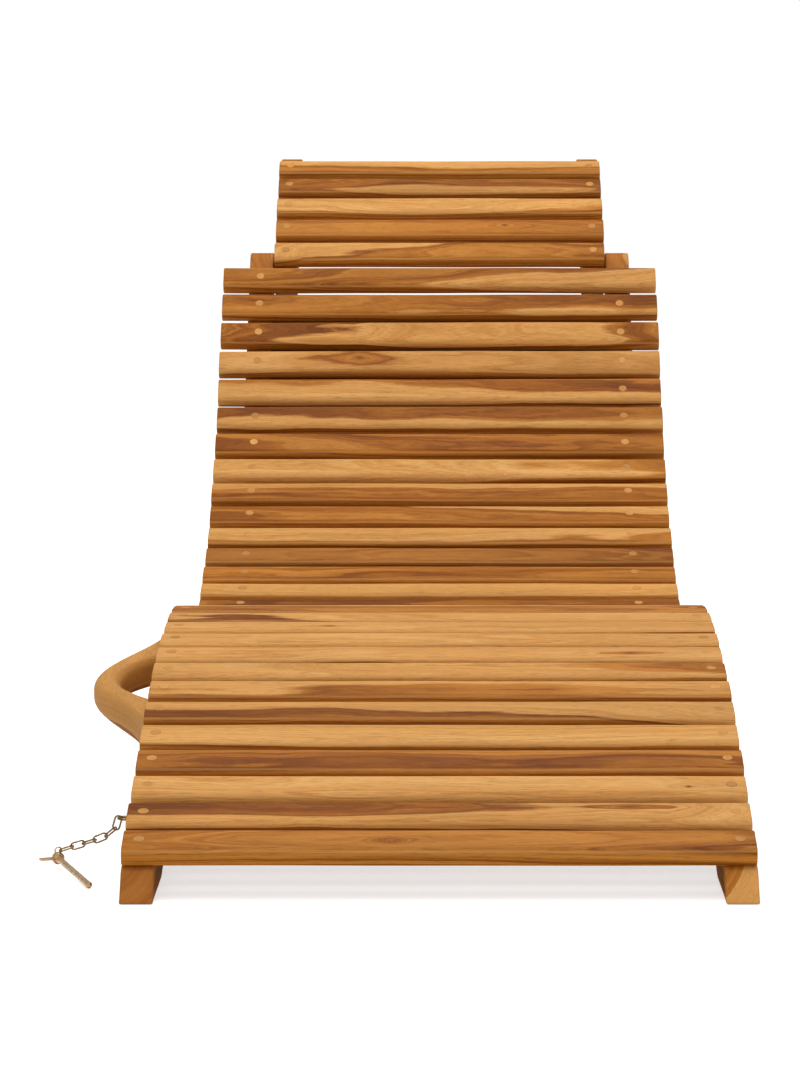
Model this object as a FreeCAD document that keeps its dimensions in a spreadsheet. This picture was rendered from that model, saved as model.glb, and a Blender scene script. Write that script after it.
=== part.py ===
import FreeCAD, Part

import math
import os

import Sketcher
from FreeCAD import Placement, Rotation, Vector

# A folding teak sun lounger. Three slatted sections nest in each other: the foot section on outer rails,
# the back section on inner rails, and the headrest between the back section's rails.
# It is drawn with x across, y from the toe to the head and z up from the floor.

doc = FreeCAD.newDocument("sun_lounger")

# Driving dimensions, in millimetres and degrees
DIMENSIONS = {
    "origin_across": 39.9,
    "origin_along": 910,
    "slat_length": 550,
    "head_slat_length": 422,
    "slat_width": 42,
    "narrow_slat_width": 36,
    "slat_thickness": 17,
    "slat_rounding": 8,
    "slat_base_rounding": 5,
    "slat_seat_gap": 0.02,
    "foot_pitch": 50.8,
    "foot_first_slat": 25,
    "back_pitch": 45.67,
    "back_first_slat": 809.5,
    "seat_pitch": 51,
    "head_pitch": 47,
    "head_first_slat": 9,
    "foot_rail_thickness": 29,
    "back_rail_thickness": 30,
    "head_rail_thickness": 28,
    "foot_rail_depth": 48,
    "back_rail_depth": 48,
    "head_rail_depth": 48,
    "rail_gap": 4,
    "head_gap": 2,
    "toe_lead": 22,
    "toe_rounding": 2,
    "foot_slope": 16.6,
    "foot_run": 222.4,
    "knee_along": 627.3,
    "knee_height": 146.4,
    "knee_radius": 1373,
    "drop_radius": 350,
    "drop_angle": 32.4,
    "seat_radius": 108,
    "foot_rail_end": 852,
    "back_rail_end": 862,
    "hinge_along": 876,
    "hinge_height": 36.5,
    "hinge_boss_radius": 37.5,
    "back_radius": 796,
    "back_top_angle": 47.5,
    "back_run": 178,
    "back_overrun": 11,
    "brace_station": 700,
    "brace_width": 158,
    "brace_thickness": 16,
    "brace_drop": 18,
    "head_radius": 975,
    "head_slope": 38.6,
    "head_rail_length": 251,
    "head_end_rounding": 5,
    "leg_station": 36,
    "leg_reach": 75,
    "leg_width": 36,
    "leg_thickness": 26,
    "crossbar_width": 34,
    "crossbar_thickness": 20,
    "crossbar_lift": 60,
    "stop_size": 20,
    "stop_gap": 0.4,
    "stop_drop": 3,
    "plug_radius": 5,
    "plug_length": 5.4,
    "counterbore_depth": 8,
    "screw_hole_radius": 2.2,
    "screw_radius": 2,
    "screw_length": 27,
    "head_screw_length": 21,
    "screw_head_radius": 4.2,
    "screw_head_height": 2.5,
    "handle_screw_length": 38,
    "handle_screw_drop": 5,
    "handle_screw_head_height": 2,
    "seat_bolt_radius": 5,
    "swing_bolt_radius": 4,
    "bolt_clearance": 0.05,
    "bolt_head_ratio": 2.2,
    "washer_ratio": 2.6,
    "nut_ratio": 1.8,
    "swing_bolt_head_height": 2.5,
    "seat_bolt_head_height": 4,
    "nut_height": 6,
    "washer_play": 0.4,
    "fold_angle": 204,
    "lock_hole_along": 200,
    "lock_hole_height": 42,
    "lock_hole_radius": 3.25,
    "handle_along": 434,
    "handle_drop": 22,
    "handle_reach": 61,
    "handle_bend": 62,
    "handle_flank": 25,
    "grip_half_length": 65,
    "grip_gap": 34,
    "handle_thickness": 32,
    "handle_rounding": 11,
    "eye_along": 158,
    "eye_height": 43,
    "eye_radius": 5.5,
    "eye_wire": 1.2,
    "eye_shank": 18,
    "link_length": 14.6,
    "link_width": 7.6,
    "link_wire": 0.8,
    "link_count": 6,
    "link_play": 0.1,
    "pin_radius": 2.75,
    "pin_tip_radius": 2.95,
    "pin_neck_radius": 3.8,
    "pin_head_radius": 5.6,
    "pin_head_length": 6,
    "lug_radius": 3,
    "lug_wire": 0.75,
    "tab_length": 17,
    "tab_width": 6,
    "tab_thickness": 1.6,
    "pin_head_across": -342,
    "pin_head_along": 147,
    "pin_head_height": 8.8,
    "pin_tip_across": -305,
    "pin_tip_along": 60,
}

sizes = doc.addObject("Spreadsheet::Sheet", "Sizes")
for row, (alias, value) in enumerate(DIMENSIONS.items(), 1):
    sizes.set("A%d" % row, alias)
    sizes.set("B%d" % row, str(value))
    sizes.setAlias("B%d" % row, alias)
doc.recompute()


def size(alias):
    """One driving dimension, read from the sheet."""
    return float(sizes.get(alias))


def polar(centre, radius, angle):
    """The point at a radius from a centre, its angle in degrees from +y towards +z."""
    turn = math.radians(angle)
    return (centre[0] + radius * math.cos(turn), centre[1] + radius * math.sin(turn))


def arc(centre, radius, start, end):
    """Three points of an arc between two angles."""
    return [polar(centre, radius, angle) for angle in (start, (start + end) / 2, end)]


def upper_angle(centre, radius, along):
    """The angle of the upper point at which a circle passes a given y."""
    return math.degrees(math.acos((along - centre[0]) / radius))


def shifted(x, y, z, slope=0.0):
    """A placement in the assembly's frame, turned up by a slope about the x axis."""
    base = Vector(x + size("origin_across"), y - size("origin_along"), z)
    return Placement(base, Rotation(Vector(1, 0, 0), slope))


nodes = []


def keep(item):
    """Adds a finished sub-part to the assembly."""
    nodes.append(item)


# Sketches, boards and groups


def attached_sketch(body, name, role, offset):
    """A sketch on one of the body's own origin planes, moved along the plane's normal."""
    sketch = body.newObject("Sketcher::SketchObject", name)
    plane = [item for item in body.Origin.OriginFeatures if item.Role == role][0]
    sketch.AttachmentSupport = [(plane, "")]
    sketch.MapMode = "FlatFace"
    sketch.setExpression("AttachmentOffset.Base.z", offset)
    return sketch


def draw(sketch, edges):
    """Draws a closed outline: two points make a line, three an arc, whose radius may be bound."""
    ends = []
    for points, radius in edges:
        vectors = [Vector(a, b, 0) for a, b in points]
        shape = Part.LineSegment(*vectors) if len(points) == 2 else Part.Arc(*vectors)
        index = sketch.addGeometry(shape, False)
        forward = (sketch.getPoint(index, 1) - vectors[0]).Length < 1e-6
        ends.append((index, 1, 2) if forward else (index, 2, 1))
        if radius:
            middle = sketch.Geometry[index].Radius
            label = sketch.addConstraint(Sketcher.Constraint("Radius", index, middle))
            sketch.setExpression("Constraints[%d]" % label, radius)
    for (first, _, tail), (second, head, _) in zip(ends, ends[1:] + ends[:1]):
        sketch.addConstraint(Sketcher.Constraint("Coincident", first, tail, second, head))


def drill(sketch, centre, radius):
    """Adds a round hole to an outline, with its radius bound to the sheet."""
    circle = Part.Circle(Vector(centre[0], centre[1], 0), Vector(0, 0, 1), 1.0)
    index = sketch.addGeometry(circle, False)
    label = sketch.addConstraint(Sketcher.Constraint("Radius", index, 1.0))
    sketch.setExpression("Constraints[%d]" % label, radius)


def padded(body, sketch, length):
    """Pads a sketch by a length from the sheet."""
    pad = body.newObject("PartDesign::Pad", "Pad")
    pad.Profile = sketch
    pad.setExpression("Length", length)
    return pad


def board(label, edges, holes, low_face, thickness):
    """A board sawn to an outline in the y-z plane, from its low x face."""
    body = doc.addObject("PartDesign::Body", label)
    outline = attached_sketch(body, label + "_outline", "YZ_Plane", low_face)
    draw(outline, edges)
    for centre, radius in holes:
        drill(outline, centre, radius)
    padded(body, outline, thickness)
    body.setExpression("Placement.Base.x", "Sizes.origin_across")
    body.setExpression("Placement.Base.y", "-Sizes.origin_along")
    keep(body)


def compound(label, members):
    """One node that holds several separate solids."""
    group = doc.addObject("Part::Compound", label)
    group.Links = members
    keep(group)


def solids(label, shapes):
    """One node of solids drawn in place."""
    group = doc.addObject("Part::Feature", label)
    group.Shape = Part.makeCompound(shapes)
    group.Placement = shifted(0, 0, 0)
    keep(group)


# Faces of the nested sections, as numbers and as sheet formulas

half_width = size("slat_length") / 2
foot_inner = half_width - size("foot_rail_thickness")
back_outer = foot_inner - size("rail_gap")
back_inner = back_outer - size("back_rail_thickness")
head_outer = back_inner - size("head_gap")
head_inner = head_outer - size("head_rail_thickness")
leg_inner = head_outer - size("leg_thickness")
foot_screw_line = half_width - size("foot_rail_thickness") / 2
back_screw_line = back_outer - size("back_rail_thickness") / 2
head_screw_line = head_outer - size("head_rail_thickness") / 2

FOOT_OUTER = "Sizes.slat_length / 2"
FOOT_INNER = FOOT_OUTER + " - Sizes.foot_rail_thickness"
BACK_OUTER = FOOT_INNER + " - Sizes.rail_gap"
BACK_INNER = BACK_OUTER + " - Sizes.back_rail_thickness"
HEAD_OUTER = BACK_INNER + " - Sizes.head_gap"
HEAD_INNER = HEAD_OUTER + " - Sizes.head_rail_thickness"
LEG_INNER = HEAD_OUTER + " - Sizes.leg_thickness"

# Lines that the slats bear on, as (y, z, slope) by distance along them

slope = size("foot_slope")
drop = size("drop_angle")
hinge = (size("hinge_along"), size("hinge_height"))
knee_centre = (size("knee_along"), size("knee_height") - size("knee_radius"))
drop_centre = (size("knee_along"), size("knee_height") - size("drop_radius"))
knee_start = polar(knee_centre, size("knee_radius"), 90 + slope)
ramp_start = polar(knee_start, -size("foot_run"), slope)
seat_centre = polar(drop_centre, size("drop_radius") + size("seat_radius"), 90 - drop)
back_centre = (hinge[0], seat_centre[1] - size("seat_radius") + size("back_radius"))
back_middle = size("back_radius") + size("back_rail_depth") / 2
back_lean = size("back_top_angle")
head_pivot = polar(polar(back_centre, back_middle, back_lean - 90), size("back_run"), back_lean)
head_middle = size("head_radius") - size("head_rail_depth") / 2
head_centre = polar(head_pivot, head_middle, size("head_slope") - 90)


def foot_line(along):
    """The foot section: a ramp, the long knee, the drop behind it and the hollow of the seat."""
    knee = size("foot_run") + size("knee_radius") * math.radians(slope)
    seat = knee + size("drop_radius") * math.radians(drop)
    if along < size("foot_run"):
        return polar(ramp_start, along, slope) + (slope,)
    if along < knee:
        tilt = math.degrees((knee - along) / size("knee_radius"))
        return polar(knee_centre, size("knee_radius"), 90 + tilt) + (tilt,)
    if along < seat:
        tilt = math.degrees((knee - along) / size("drop_radius"))
        return polar(drop_centre, size("drop_radius"), 90 + tilt) + (tilt,)
    tilt = math.degrees((along - seat) / size("seat_radius")) - drop
    return polar(seat_centre, size("seat_radius"), tilt - 90) + (tilt,)


def back_line(along):
    """The back section: a hollow arc, measured from its lowest point, and a straight top."""
    tilt = min(math.degrees(along / size("back_radius")), back_lean)
    past = along - size("back_radius") * math.radians(tilt)
    return polar(polar(back_centre, size("back_radius"), tilt - 90), past, tilt) + (tilt,)


def head_line(along):
    """The headrest: one crowned arc, measured from its pivot."""
    tilt = size("head_slope") - math.degrees(along / size("head_radius"))
    return polar(head_centre, size("head_radius"), 90 + tilt) + (tilt,)


def station(line, along, width):
    """Where a flat slat lies: on the line's chord, lifted until nothing of the line stands above it."""
    half = width / 2
    samples = 16
    points = [line(along + half * (2 * step / samples - 1)) for step in range(samples + 1)]
    first = points[0]
    last = points[-1]
    tilt = math.atan2(last[1] - first[1], last[0] - first[0])
    up = (-math.sin(tilt), math.cos(tilt))
    lift = max((y - first[0]) * up[0] + (z - first[1]) * up[1] for y, z, _ in points)
    middle = ((first[0] + last[0]) / 2, (first[1] + last[1]) / 2)
    middle = polar(middle, lift + size("slat_seat_gap"), math.degrees(tilt) + 90)
    return middle + (math.degrees(tilt),)


def stations(line, first, pitch, count, width):
    """The stations of a row of slats."""
    return [station(line, first + pitch * number, size(width)) for number in range(count)]


SINGLE_FOOT_SLATS = 14
SINGLE_BACK_SLATS = 15
WIDE = "slat_width"
NARROW = "narrow_slat_width"
first_back = size("back_first_slat")
first_lower = first_back - size("back_pitch") * (SINGLE_BACK_SLATS - 1) - size("seat_pitch")
foot_stations = stations(foot_line, size("foot_first_slat"), size("foot_pitch"), 17, WIDE)
back_stations = stations(back_line, first_back, -size("back_pitch"), SINGLE_BACK_SLATS, NARROW)
back_stations += stations(back_line, first_lower, -size("seat_pitch"), 3, NARROW)
head_stations = stations(head_line, size("head_first_slat"), size("head_pitch"), 5, NARROW)

# Slats: flat boards, rounded more at the top than at the base, with two counterbored screw holes


def slat(label, place, length, width, screw_line):
    """One slat at its station; its holes lie over the two rails."""
    body = doc.addObject("PartDesign::Body", label)
    profile = attached_sketch(body, label + "_profile", "YZ_Plane", "-%s / 2" % length)
    half = size(width) / 2
    high = size("slat_thickness")
    ease = size("slat_rounding")
    base = size("slat_base_rounding")
    right_base = arc((half - base, base), base, -90, 0)
    right = arc((half - ease, high - ease), ease, 0, 90)
    left = arc((ease - half, high - ease), ease, 90, 180)
    left_base = arc((base - half, base), base, 180, 270)
    draw(profile, [
        (right_base, "Sizes.slat_base_rounding"),
        ([right_base[-1], right[0]], None),
        (right, "Sizes.slat_rounding"),
        ([right[-1], left[0]], None),
        (left, "Sizes.slat_rounding"),
        ([left[-1], left_base[0]], None),
        (left_base, "Sizes.slat_base_rounding"),
        ([left_base[-1], right_base[0]], None),
    ])
    padded(body, profile, length)
    cuts = {
        "Sizes.plug_radius": "Sizes.counterbore_depth",
        "Sizes.screw_hole_radius": "Sizes.slat_thickness",
    }
    for radius, depth in cuts.items():
        mouth = attached_sketch(body, label + "_holes", "XY_Plane", "Sizes.slat_thickness")
        drill(mouth, (screw_line, 0), radius)
        drill(mouth, (-screw_line, 0), radius)
        pocket = body.newObject("PartDesign::Pocket", "Pocket")
        pocket.Profile = mouth
        pocket.setExpression("Length", depth)
    body.Placement = shifted(0, *place)
    return body


def slat_row(label, places, *sizing):
    """A row of slats, numbered from the first station."""
    return [slat(label % (number + 1), place, *sizing) for number, place in enumerate(places)]


foot_slats = slat_row("foot_slat_%02d", foot_stations, "Sizes.slat_length", WIDE, foot_screw_line)
back_slats = slat_row("back_slat_%02d", back_stations, "Sizes.slat_length", NARROW, back_screw_line)
head_slats = slat_row("head_slat_%d", head_stations, "Sizes.head_slat_length", NARROW, head_screw_line)
for piece in foot_slats[:SINGLE_FOOT_SLATS] + back_slats[:SINGLE_BACK_SLATS] + head_slats:
    keep(piece)
compound("seat_slats", foot_slats[SINGLE_FOOT_SLATS:])
compound("lower_back_slats", back_slats[SINGLE_BACK_SLATS:])

# Foot rails: sawn to the wave, with a flat sole at the toe and a round boss on the seat hinge

boss = size("hinge_boss_radius")
flat_turn = math.degrees(math.asin(hinge[1] / boss))
flat_edge = [polar(hinge, boss, -flat_turn), polar(hinge, boss, 180 + flat_turn)]
knee_under = size("knee_radius") - size("foot_rail_depth")
drop_under = size("drop_radius") - size("foot_rail_depth")
under_start = polar(knee_centre, knee_under, 90 + slope)
sole_end = (under_start[0] - under_start[1] / math.tan(math.radians(slope)), 0)
toe = (ramp_start[0] - size("toe_lead"), 0)
toe_lean = math.degrees(math.atan2(ramp_start[1], size("toe_lead")))
toe_cut = size("toe_rounding") * math.tan(math.radians(90 - toe_lean / 2))
toe_arc = arc((toe[0] + toe_cut, size("toe_rounding")), size("toe_rounding"), 270, 90 + toe_lean)
seat_end = math.degrees(math.asin((size("foot_rail_end") - seat_centre[0]) / size("seat_radius")))
seat_arc = arc(seat_centre, size("seat_radius"), -90 - drop, seat_end - 90)
foot_boss = arc(hinge, boss, upper_angle(hinge, boss, size("foot_rail_end")), -flat_turn)
front_boss = arc(hinge, boss, 180 + flat_turn, 180)
drop_arc = arc(drop_centre, drop_under, 90 - drop, 90)
foot_outline = [
    ([toe_arc[-1], ramp_start], None),
    ([ramp_start, knee_start], None),
    (arc(knee_centre, size("knee_radius"), 90 + slope, 90), "Sizes.knee_radius"),
    (arc(drop_centre, size("drop_radius"), 90, 90 - drop), "Sizes.drop_radius"),
    (seat_arc, "Sizes.seat_radius"),
    ([seat_arc[-1], foot_boss[0]], None),
    (foot_boss, "Sizes.hinge_boss_radius"),
    (flat_edge, None),
    (front_boss, "Sizes.hinge_boss_radius"),
    ([front_boss[-1], drop_arc[0]], None),
    (drop_arc, "Sizes.drop_radius - Sizes.foot_rail_depth"),
    (arc(knee_centre, knee_under, 90, 90 + slope), "Sizes.knee_radius - Sizes.foot_rail_depth"),
    ([under_start, sole_end], None),
    ([sole_end, toe_arc[0]], None),
    (toe_arc, "Sizes.toe_rounding"),
]
lock_point = (size("lock_hole_along"), size("lock_hole_height"))
lock_hole = (lock_point, "Sizes.lock_hole_radius")
hinge_hole = (hinge, "Sizes.seat_bolt_radius + Sizes.bolt_clearance")
FOOT_RAIL = "Sizes.foot_rail_thickness"
board("foot_rail_left", foot_outline, [hinge_hole, lock_hole], "-(%s)" % FOOT_OUTER, FOOT_RAIL)
board("foot_rail_right", foot_outline, [hinge_hole], FOOT_INNER, FOOT_RAIL)

# Back rails: an arc from the seat hinge, then straight past the headrest pivot, round at both ends

back_under = size("back_radius") + size("back_rail_depth")
back_top = back_lean - 90
back_end = arc(polar(head_pivot, size("back_overrun"), back_lean), size("back_rail_depth") / 2,
               back_top + 180, back_top)
under_arc_top = polar(back_centre, back_under, back_top)
heel_start = -upper_angle(back_centre, size("back_radius"), size("back_rail_end"))
heel_arc = arc(back_centre, size("back_radius"), heel_start, back_top)
heel_boss = arc(hinge, boss, 180 + flat_turn, upper_angle(hinge, boss, size("back_rail_end")))
rise = back_centre[1] - hinge[1]
join_turn = math.degrees(math.asin((boss ** 2 + rise ** 2 - back_under ** 2) / (2 * rise * boss)))
join = polar(hinge, boss, join_turn)
under_end = math.degrees(math.atan2(join[1] - back_centre[1], join[0] - back_centre[0]))
back_outline = [
    (heel_arc, "Sizes.back_radius"),
    ([heel_arc[-1], back_end[0]], None),
    (back_end, "Sizes.back_rail_depth / 2"),
    ([back_end[-1], under_arc_top], None),
    (arc(back_centre, back_under, back_top, under_end), "Sizes.back_radius + Sizes.back_rail_depth"),
    (arc(hinge, boss, join_turn, -flat_turn), "Sizes.hinge_boss_radius"),
    (flat_edge, None),
    (heel_boss, "Sizes.hinge_boss_radius"),
    ([heel_boss[-1], heel_arc[0]], None),
]
fold = math.radians(size("fold_angle"))
away = (lock_point[0] - hinge[0], lock_point[1] - hinge[1])
open_lock = (
    hinge[0] + away[0] * math.cos(fold) - away[1] * math.sin(fold),
    hinge[1] + away[0] * math.sin(fold) + away[1] * math.cos(fold),
)
leg_pivot = polar(back_centre, back_middle, size("leg_station") - 90)
SWING_HOLE = "Sizes.swing_bolt_radius + Sizes.bolt_clearance"
back_holes = [hinge_hole, (leg_pivot, SWING_HOLE), (head_pivot, SWING_HOLE)]
matching_lock = (open_lock, "Sizes.lock_hole_radius")
BACK_RAIL = "Sizes.back_rail_thickness"
board("back_rail_left", back_outline, back_holes + [matching_lock], "-(%s)" % BACK_OUTER, BACK_RAIL)
board("back_rail_right", back_outline, back_holes, BACK_INNER, BACK_RAIL)

# Headrest rails: short crowned arcs, round on their pivot, with eased corners at the top

head_under = size("head_radius") - size("head_rail_depth")
head_start = 90 + size("head_slope")
head_end = head_start - math.degrees(size("head_rail_length") / size("head_radius"))
ease = size("head_end_rounding")
upper_ease = math.degrees(math.asin(ease / (size("head_radius") - ease)))
lower_ease = math.degrees(math.asin(ease / (head_under + ease)))
upper_centre = polar(head_centre, size("head_radius") - ease, head_end + upper_ease)
lower_centre = polar(head_centre, head_under + ease, head_end + lower_ease)
upper_corner = arc(upper_centre, ease, head_end + upper_ease, head_end - 90)
lower_corner = arc(lower_centre, ease, head_end - 90, head_end + lower_ease - 180)
head_outline = [
    (arc(head_centre, size("head_radius"), head_start, head_end + upper_ease), "Sizes.head_radius"),
    (upper_corner, "Sizes.head_end_rounding"),
    ([upper_corner[-1], lower_corner[0]], None),
    (lower_corner, "Sizes.head_end_rounding"),
    (arc(head_centre, head_under, head_end + lower_ease, head_start),
     "Sizes.head_radius - Sizes.head_rail_depth"),
    (arc(head_pivot, size("head_rail_depth") / 2, head_start + 180, head_start),
     "Sizes.head_rail_depth / 2"),
]
head_hole = (head_pivot, SWING_HOLE)
HEAD_RAIL = "Sizes.head_rail_thickness"
board("head_rail_left", head_outline, [head_hole], "-(%s)" % HEAD_OUTER, HEAD_RAIL)
board("head_rail_right", head_outline, [head_hole], HEAD_INNER, HEAD_RAIL)

# Rear legs: straight with round heads, a crossbar between them, and stop blocks on the back rails

leg_foot = (leg_pivot[0] + size("leg_reach"), 0)
leg_turn = math.degrees(math.atan2(-leg_pivot[1], size("leg_reach")))
half_leg = size("leg_width") / 2
leg_head = arc(leg_pivot, half_leg, leg_turn + 270, leg_turn + 90)
half_sole = half_leg / math.sin(math.radians(-leg_turn))
leg_sole = [(leg_foot[0] + half_sole, 0), (leg_foot[0] - half_sole, 0)]
leg_outline = [
    (leg_head, "Sizes.leg_width / 2"),
    ([leg_head[-1], leg_sole[0]], None),
    (leg_sole, None),
    ([leg_sole[-1], leg_head[0]], None),
]
leg_hole = (leg_pivot, SWING_HOLE)
LEG = "Sizes.leg_thickness"
board("rear_leg_left", leg_outline, [leg_hole], "-(%s)" % HEAD_OUTER, LEG)
board("rear_leg_right", leg_outline, [leg_hole], LEG_INNER, LEG)


def block(label, x, corner, lean, *lengths):
    """A square timber lying across, from a corner in the y-z plane, leaning up from +y."""
    timber = doc.addObject("Part::Box", label)
    for side, length in zip(("Length", "Width", "Height"), lengths):
        timber.setExpression(side, length)
    timber.Placement = shifted(x, corner[0], corner[1], lean)
    return timber


bar_corner = polar(leg_foot, -size("crossbar_lift") - size("crossbar_width") / 2, leg_turn)
bar_corner = polar(bar_corner, -size("crossbar_thickness") / 2, leg_turn + 90)
keep(block("leg_crossbar", -leg_inner, bar_corner, leg_turn,
           "2 * (%s)" % LEG_INNER, "Sizes.crossbar_width", "Sizes.crossbar_thickness"))
stop_corner = polar(leg_pivot, size("stop_drop") - size("stop_size") / 2, leg_turn)
stop_corner = polar(stop_corner, half_leg + size("stop_gap"), leg_turn + 90)
compound("leg_stops", [
    block(label, low, stop_corner, leg_turn,
          "Sizes.head_gap + Sizes.leg_thickness", "Sizes.stop_size", "Sizes.stop_size")
    for label, low in (("left_stop", -back_inner), ("right_stop", leg_inner))
])

# Brace: a wide board between the back rails, under the straight top of the back

brace_foot = back_line(size("brace_station") - size("brace_width") / 2)
brace_corner = polar(brace_foot[:2], -size("brace_drop") - size("brace_thickness"), back_lean + 90)
keep(block("back_brace", -back_inner, brace_corner, back_lean,
           "2 * (%s)" % BACK_INNER, "Sizes.brace_width", "Sizes.brace_thickness"))

# Carry handle: a carved bow with straight flanks, on the outer face of the left foot rail

handle_turn = math.degrees(math.asin((knee_centre[0] - size("handle_along")) / size("knee_radius")))
handle_place = polar(knee_centre, size("knee_radius") - size("handle_drop"), 90 + handle_turn)
flank = size("handle_flank")
bend_centre = (size("handle_bend") - size("handle_reach"), 0)
bend = arc(bend_centre, size("handle_bend"), 180 + flank, 180 - flank)
bow_end = bend[-1][1] - bend[-1][0] / math.tan(math.radians(flank))
grip_end = size("grip_half_length")
handle = doc.addObject("PartDesign::Body", "carry_handle")
bow = attached_sketch(handle, "handle_bow", "XY_Plane", "-Sizes.handle_thickness / 2")
draw(bow, [
    ([(0, -bow_end), bend[0]], None),
    (bend, "Sizes.handle_bend"),
    ([bend[-1], (0, bow_end)], None),
    ([(0, bow_end), (0, grip_end)], None),
    ([(0, grip_end), (-size("grip_gap"), 0), (0, -grip_end)], None),
    ([(0, -grip_end), (0, -bow_end)], None),
])
blank = padded(handle, bow, "Sizes.handle_thickness")
doc.recompute()
long_edges = [
    "Edge%d" % (number + 1)
    for number, edge in enumerate(blank.Shape.Edges)
    if edge.Curve.TypeId == "Part::GeomCircle"
]
carved = handle.newObject("PartDesign::Fillet", "carved_edges")
carved.Base = (blank, long_edges)
carved.setExpression("Radius", "Sizes.handle_rounding")
handle.Placement = shifted(-half_width, handle_place[0], handle_place[1], handle_turn)
keep(handle)

# Plugs and screws, two for each slat, and two screws for the handle


def on_slat(place, height):
    """A point on a slat's middle line, a height above its underside."""
    return polar(place[:2], height, place[2] + 90)


def plugs(label, places, screw_line):
    """Wooden plugs that close the counterbores, flush with the slats' top."""
    made = []
    for place in places:
        foot = on_slat(place, size("slat_thickness") - size("plug_length"))
        for side in (-1, 1):
            plug = doc.addObject("Part::Cylinder", label + "_plug")
            plug.setExpression("Radius", "Sizes.plug_radius - Sizes.bolt_clearance")
            plug.setExpression("Height", "Sizes.plug_length")
            plug.Placement = shifted(side * screw_line, foot[0], foot[1], place[2])
            made.append(plug)
    compound(label, made)


def screw(start, direction, length, head_height):
    """A wood screw from the seat of its head, with its shank along a direction."""
    head = Part.makeCylinder(size("screw_head_radius"), head_height, start, -direction)
    shank = Part.makeCylinder(size("screw_radius"), length, start, direction)
    return head.fuse(shank).removeSplitter()


def slat_screws(places, screw_line, length):
    """Screws from the counterbores into the rails."""
    made = []
    for place in places:
        seat = on_slat(place, size("slat_thickness") - size("counterbore_depth"))
        down = Vector(0, *polar((0, 0), 1, place[2] - 90))
        for side in (-1, 1):
            start = Vector(side * screw_line, *seat)
            made.append(screw(start, down, length, size("screw_head_height")))
    return made


handle_screws = []
for side in (-1, 1):
    foot = polar(handle_place, side * (bow_end + grip_end) / 2, handle_turn)
    foot = polar(foot, size("handle_screw_drop"), handle_turn - 90)
    start = Vector(-foot_inner, *foot)
    outward = Vector(-1, 0, 0)
    lengths = (size("handle_screw_length"), size("handle_screw_head_height"))
    handle_screws.append(screw(start, outward, *lengths))
plugs("foot_plugs", foot_stations, foot_screw_line)
plugs("back_plugs", back_stations, back_screw_line)
plugs("head_plugs", head_stations, head_screw_line)
solids("foot_screws", slat_screws(foot_stations, foot_screw_line, size("screw_length")) + handle_screws)
solids("back_screws", slat_screws(back_stations, back_screw_line, size("screw_length")))
solids("head_screws", slat_screws(head_stations, head_screw_line, size("head_screw_length")))

# Pivot bolts, each with a washer between the two timbers and a nut on the inside


def pivot_bolts(label, point, bolt, outer, gap, inner):
    """A bolt on each side, from the outer face through the gap between timbers and past the inner face."""
    radius = size(bolt + "_radius")
    head_height = size(bolt + "_head_height")
    play = size("washer_play")
    made = []
    for side in (-1, 1):
        inward = Vector(-side, 0, 0)

        def disc(face, height, ratio):
            return Part.makeCylinder(ratio * radius, height, Vector(side * face, *point), inward)

        head = disc(outer + head_height, head_height, size("bolt_head_ratio"))
        shank = disc(outer, outer - inner + play / 2 + size("nut_height"), 1)
        washer = disc(gap[0] - play / 2, gap[0] - gap[1] - play, size("washer_ratio"))
        nut = disc(inner - play / 2, size("nut_height"), size("nut_ratio"))
        made += [head.fuse(shank).removeSplitter(), washer.cut(shank), nut.cut(shank)]
    solids(label, made)


pivot_bolts("seat_bolts", hinge, "seat_bolt", half_width, (foot_inner, back_outer), back_inner)
pivot_bolts("leg_bolts", leg_pivot, "swing_bolt", back_outer, (back_inner, head_outer), leg_inner)
pivot_bolts("headrest_bolts", head_pivot, "swing_bolt", back_outer, (back_inner, head_outer), head_inner)

# Locking pin: a turned pin with a lug for the chain and a flat thumb tab

pin_head = Vector(size("pin_head_across"), size("pin_head_along"), size("pin_head_height"))
pin_tip = Vector(size("pin_tip_across"), size("pin_tip_along"), size("pin_tip_radius"))
pin_axis = pin_tip - pin_head
pin_length = pin_axis.Length
pin_turn = Rotation(Vector(0, 1, 0), Vector(0, 0, 1), pin_axis.normalize(), "ZYX")
head_half = size("pin_head_length") / 2
head_shoulder = 0.75 * size("pin_head_radius")
turned_profile = [
    (0, -head_half),
    (head_shoulder, -head_half),
    (size("pin_head_radius"), -head_half / 2),
    (size("pin_head_radius"), head_half / 2),
    (head_shoulder, head_half),
    (size("pin_neck_radius"), head_half),
    (size("pin_radius"), 4 * head_half),
    (size("pin_radius"), pin_length - 3 * size("pin_tip_radius")),
    (size("pin_tip_radius"), pin_length - 2 * size("pin_tip_radius")),
    (size("pin_tip_radius"), pin_length - size("pin_tip_radius")),
    (0, pin_length),
]
turned = Part.makePolygon([Vector(out, 0, along) for out, along in turned_profile + turned_profile[:1]])
pin = Part.Face(turned).revolve(Vector(), Vector(0, 0, 1), 360)
lug_middle = Vector(0, size("pin_head_radius") + size("lug_radius") - 2 * size("lug_wire"), 0)
lug = Part.makeTorus(size("lug_radius"), size("lug_wire"), lug_middle, Vector(0, 0, 1))
tab_corner = Vector(-size("tab_length"), -size("tab_thickness") / 2, -size("tab_width") / 2)
tab = Part.makeBox(size("tab_length"), size("tab_thickness"), size("tab_width"), tab_corner)
pin = pin.fuse([lug, tab]).removeSplitter()
pin.Placement = Placement(pin_head, pin_turn)
solids("locking_pin", [pin])

# Screw eye on the rail, its ring level, and the chain that hangs from it to the pin's lug

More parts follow.
